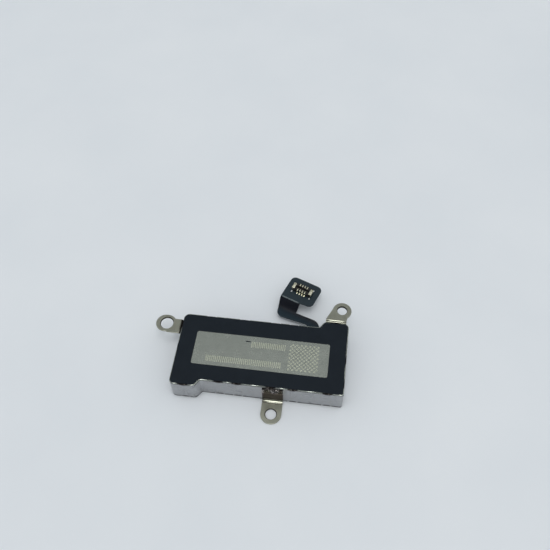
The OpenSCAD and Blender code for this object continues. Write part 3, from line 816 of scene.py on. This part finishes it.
def coil(node):
    """A flat racetrack winding whose turns show as ridges."""
    low, high = box_mm(node)
    centre = (low + high) / 2
    length, width = high.x - low.x, high.y - low.y
    band, outer_r, inner_r, turns, ridge = 1.55, 1.2, 0.35, 15, 0.018
    inner_l, inner_w = length - 2 * band, width - 2 * band
    outer = rounded([(length / 2, width / 2), (-length / 2, width / 2), (-length / 2, -width / 2),
                     (length / 2, -width / 2)], [outer_r] * 4, 10)
    inner = rounded([(inner_l / 2, inner_w / 2), (-inner_l / 2, inner_w / 2),
                     (-inner_l / 2, -inner_w / 2), (inner_l / 2, -inner_w / 2)], [inner_r] * 4, 10)
    steps = turns * 4           # four facets to a turn
    across = [i / steps for i in range(steps + 1)]

    def dip(share):
        return ridge * (1 - abs(math.sin(math.pi * turns * share)))

    section = [(s, high.z - dip(s)) for s in across] + [(s, low.z + dip(s)) for s in across[::-1]]
    bm = bmesh.new()
    rings = [[bm.verts.new((centre.x + a.x + (b.x - a.x) * s, centre.y + a.y + (b.y - a.y) * s, z))
              for s, z in section] for a, b in zip(outer, inner)]
    n = len(section)
    for a, b in zip(rings, rings[1:] + rings[:1]):
        for i in range(n):
            bm.faces.new((a[i], a[(i + 1) % n], b[(i + 1) % n], b[i]))
    to_object(bm, node.replace("coil", "winding"), CASE, "copper_wire", replaces=[node],
              smooth_angle=80)


for node_name in ("coil_lower_left", "coil_lower_right", "coil_upper_left", "coil_upper_right"):
    coil(node_name)


# ---------------------------------------------------------------- welds

WELD_END = 1.2                  # from a seam's end to its first spot, in radii
WELD_SUNK = 0.01                # depth of the spots' bases in the case


def weld_seam(bm, start, along, out, up, length, radius, seed):
    """A seam of overlapping laser spots, each a low uneven dome."""
    pitch, rows, cols = 0.17, 5, 12
    spot_l, spot_w, spot_h = 1.15, 0.98, 0.92       # in radii
    most_tilt, most_wobble = 0.35, 0.08
    count = max(2, round(length / pitch))
    for k in range(count):
        centre = start + along * (length * (k + 0.5) / count)
        tilt = most_tilt * noise.noise(Vector((seed, k * 1.7, 0.3)))
        rings = []
        for i in range(rows + 1):
            polar = math.pi / 2 * i / rows
            r, h = math.sin(polar), math.cos(polar)
            ring = []
            for j in range(cols):
                a = 2 * math.pi * j / cols
                place = Vector((seed + math.cos(a), k + math.sin(a), r))
                wobble = 1 + most_wobble * noise.noise(place)
                ring.append(bm.verts.new(
                    centre
                    + along * (math.cos(a) * r * radius * spot_l * wobble + tilt * h * radius)
                    + up * (math.sin(a) * r * radius * wobble * spot_w)
                    + out * (h * radius * spot_h)))
                if i == 0:
                    break
            rings.append(ring)
        base = bm.verts.new(centre)
        for a, b in zip(rings, rings[1:]):
            for j in range(cols):
                j2 = (j + 1) % cols
                if len(a) == 1:
                    bm.faces.new((a[0], b[j], b[j2]))
                else:
                    bm.faces.new((a[j], b[j], b[j2], a[j2]))
        last = rings[-1]
        for j in range(cols):
            bm.faces.new((base, last[(j + 1) % cols], last[j]))


for node_name in ("top_welds", "bottom_welds"):
    bm = bmesh.new()
    for index, (low, high) in enumerate(islands(node_name)):
        size, centre = high - low, (low + high) / 2
        along_x = size.x > size.y
        along = Vector((1, 0, 0)) if along_x else Vector((0, 1, 0))
        out = (Vector((0, math.copysign(1, centre.y), 0)) if along_x
               else Vector((math.copysign(1, centre.x), 0, 0)))
        length = max(size.x, size.y)
        radius = size.z / 2
        inset = radius * WELD_END
        start = centre - along * (length / 2 - inset) - out * WELD_SUNK
        weld_seam(bm, start, along, out, Vector((0, 0, 1)), length - 2 * inset, radius,
                  seed=index * 3.1 + low.z)
    to_object(bm, node_name.replace("welds", "weld_seams"), CASE, "weld_metal",
              replaces=[node_name], smooth_angle=50)


# ---------------------------------------------------------------- laser texture in the window

# Plain strokes and dots stand for the laser marks. They carry no text and no code.
MARK_Z, MARK_T, MARK_SUNK = box_mm("top_cover")[1].z, 0.0015, 0.01
LATTICE_CORNER, LATTICE_N, DOT, DOT_STEP = (4.1, -2.16), 14, 0.29, 0.303
STROKE_W, STROKE_H, STROKE_STEP = 0.14, 0.95, 0.27
STROKE_ROWS = [(-7.75, 3.05, -1.72), (-1.6, 3.4, 1.14)]     # first x, last x and y
TICK_AT, TICK_SIZE = (-2.05, 1.56), (0.72, 0.17)


def plate(bm, x, y, l, w):
    """A thin plate with cut corners, on the cover."""
    c = 0.25 * min(l, w)
    ring = [(l / 2, w / 2 - c), (l / 2 - c, w / 2), (-l / 2 + c, w / 2), (-l / 2, w / 2 - c),
            (-l / 2, -w / 2 + c), (-l / 2 + c, -w / 2), (l / 2 - c, -w / 2), (l / 2, -w / 2 + c)]
    bottom = [bm.verts.new((x + a, y + b, MARK_Z - MARK_SUNK)) for a, b in ring]
    top = [bm.verts.new((x + a, y + b, MARK_Z + MARK_T)) for a, b in ring]
    bm.faces.new(top)
    bm.faces.new(bottom[::-1])
    for i in range(8):
        bm.faces.new((bottom[i], bottom[(i + 1) % 8], top[(i + 1) % 8], top[i]))


bm = bmesh.new()
for i in range(LATTICE_N):
    for j in range(i % 2, LATTICE_N, 2):
        plate(bm, LATTICE_CORNER[0] + DOT_STEP * i, LATTICE_CORNER[1] + DOT_STEP * j, DOT, DOT)
for first, last, y in STROKE_ROWS:
    count = round((last - first) / STROKE_STEP)
    for i in range(count):
        plate(bm, first + (last - first) * (i + 0.5) / count, y, STROKE_W, STROKE_H)
to_object(bm, "laser_texture", CASE, "cover_steel", look="laser_frost")

bm = bmesh.new()
plate(bm, *TICK_AT, *TICK_SIZE)
to_object(bm, "laser_tick", CASE, "weld_metal", look="black_film")


# ---------------------------------------------------------------- camera

CAMERA_AZIMUTH, CAMERA_ELEVATION, CAMERA_ROLL = (math.radians(a) for a in (8.549, 54.61, -1.376))
CAMERA_AIM = Vector((-0.2, 16.44, 0)) * MM
CAMERA_DISTANCE = 106.8 * MM
CAMERA_LENS, CAMERA_SENSOR = 43.44, 36

back = Vector((math.sin(CAMERA_AZIMUTH) * math.cos(CAMERA_ELEVATION),
               -math.cos(CAMERA_AZIMUTH) * math.cos(CAMERA_ELEVATION), math.sin(CAMERA_ELEVATION)))
right = Vector((math.cos(CAMERA_AZIMUTH), math.sin(CAMERA_AZIMUTH), 0))
up = back.cross(right)
c, s = math.cos(CAMERA_ROLL), math.sin(CAMERA_ROLL)
right, up = right * c + up * s, up * c - right * s
data = bpy.data.cameras.new("camera")
data.lens, data.sensor_width = CAMERA_LENS, CAMERA_SENSOR
data.clip_start, data.clip_end = 0.001, 50      # metres
camera = bpy.data.objects.new("camera", data)
camera.matrix_world = Matrix((right, up, back)).transposed().to_4x4()
camera.location = CAMERA_AIM + back * CAMERA_DISTANCE
bpy.context.scene.collection.objects.link(camera)
bpy.context.scene.camera = camera
bpy.context.scene.view_settings.view_transform = "Standard"


# ---------------------------------------------------------------- light

def area_light(name, position, target, size, power, colour):
    """A round soft light in metres and watts, which leaves no mirror image."""
    lamp = bpy.data.lights.new(name, "AREA")
    lamp.shape = "DISK"
    lamp.size = size
    lamp.energy = power
    lamp.color = colour
    obj = bpy.data.objects.new(name, lamp)
    obj.location = position
    obj.rotation_euler = (Vector(target) - Vector(position)).to_track_quat("-Z", "Y").to_euler()
    obj.visible_glossy = False
    bpy.context.scene.collection.objects.link(obj)


area_light("key", position=(0.05, -0.12, 1.0), target=(0, 0.005, 0), size=0.55, power=1.9,
           colour=(1.0, 0.995, 0.985))

world = bpy.data.worlds.new("studio")
bpy.context.scene.world = world
world.use_nodes = True
tree = world.node_tree
background = tree.nodes["Background"]
place = tree.nodes.new("ShaderNodeTexCoord")
split = tree.nodes.new("ShaderNodeSeparateXYZ")
tree.links.new(place.outputs["Generated"], split.inputs[0])


def sky(output, low, high, stops):
    """Colour against one part of the direction, from low to high."""
    spread = tree.nodes.new("ShaderNodeMapRange")
    spread.inputs["From Min"].default_value = low
    spread.inputs["From Max"].default_value = high
    tree.links.new(split.outputs[output], spread.inputs["Value"])
    return colour_ramp(tree, spread.outputs[0], stops)


def sky_mix(blend, a, b):
    """Two parts of the sky multiplied or added."""
    return colour_mix(tree, 1.0, a, b, blend)


# Reflections see a dim room that is lighter overhead and darker in front, with two pale panels
BLACK, WHITE = (0.0, 0.0, 0.0), (1.0, 1.0, 1.0)
FRONT_PANEL, OVERHEAD_PANEL = (4.6, 4.64, 4.68), (2.7, 2.72, 2.74)
height = sky("Z", 0, 1, [(0.0, (0.13, 0.14, 0.15)), (0.5, (0.24, 0.25, 0.265)),
                         (0.85, (0.39, 0.405, 0.415)), (1.0, (0.42, 0.435, 0.445))])
depth = sky("Y", -0.5, 0.0, [(0.0, (0.26, 0.24, 0.24)), (1.0, WHITE)])
low_down = sky("Z", 0, 1, [(0.06, BLACK), (0.15, FRONT_PANEL), (0.60, FRONT_PANEL), (0.72, BLACK)])
in_front = sky("Y", -1, 0, [(0.25, WHITE), (0.45, BLACK)])
not_beside = sky("X", -1, 1, [(0.30, BLACK), (0.37, WHITE), (0.63, WHITE), (0.70, BLACK)])
front = sky_mix("MULTIPLY", sky_mix("MULTIPLY", low_down, in_front), not_beside)
overhead = sky("Z", 0.9, 1, [(0.42, BLACK), (0.64, OVERHEAD_PANEL)])
not_behind = sky("Y", 0, 0.4, [(0.20, WHITE), (0.50, BLACK)])
panels = sky_mix("ADD", front, sky_mix("MULTIPLY", overhead, not_behind))
seen = sky_mix("ADD", sky_mix("MULTIPLY", height, depth), panels)
reflected = tree.nodes.new("ShaderNodeBackground")
tree.links.new(seen, reflected.inputs["Color"])
# All other rays see an even pale sky
background.inputs["Color"].default_value = (0.645, 0.672, 0.690, 1)
ray = tree.nodes.new("ShaderNodeLightPath")
choice = tree.nodes.new("ShaderNodeMixShader")
tree.links.new(ray.outputs["Is Glossy Ray"], choice.inputs[0])
tree.links.new(background.outputs[0], choice.inputs[1])
tree.links.new(reflected.outputs[0], choice.inputs[2])
tree.links.new(choice.outputs[0], tree.nodes["World Output"].inputs["Surface"])


# ---------------------------------------------------------------- floor

FLOOR_Z, FLOOR_R = -0.02 * MM, 2.0      # metres; just under the case, and far past the view
bm = bmesh.new()
bmesh.ops.create_grid(bm, x_segments=8, y_segments=8, size=FLOOR_R)
for v in bm.verts:
    v.co.z = FLOOR_Z
floor_mesh = bpy.data.meshes.new("floor")
bm.to_mesh(floor_mesh)
bm.free()
floor = bpy.data.objects.new("floor", floor_mesh)
bpy.context.scene.collection.objects.link(floor)
paper = Look("paper", Specular_IOR_Level=0.2)
paper_tone = paper.two_tone(paper.noise(0.05, 4, 0.5), (0.78, 0.81, 0.84), (0.815, 0.84, 0.865))
paper.bump(paper.noise(3.0, 4, 0.6), 0.01, 0.3)
floor_mesh.materials.append(paper.finish(paper_tone, 0.85))
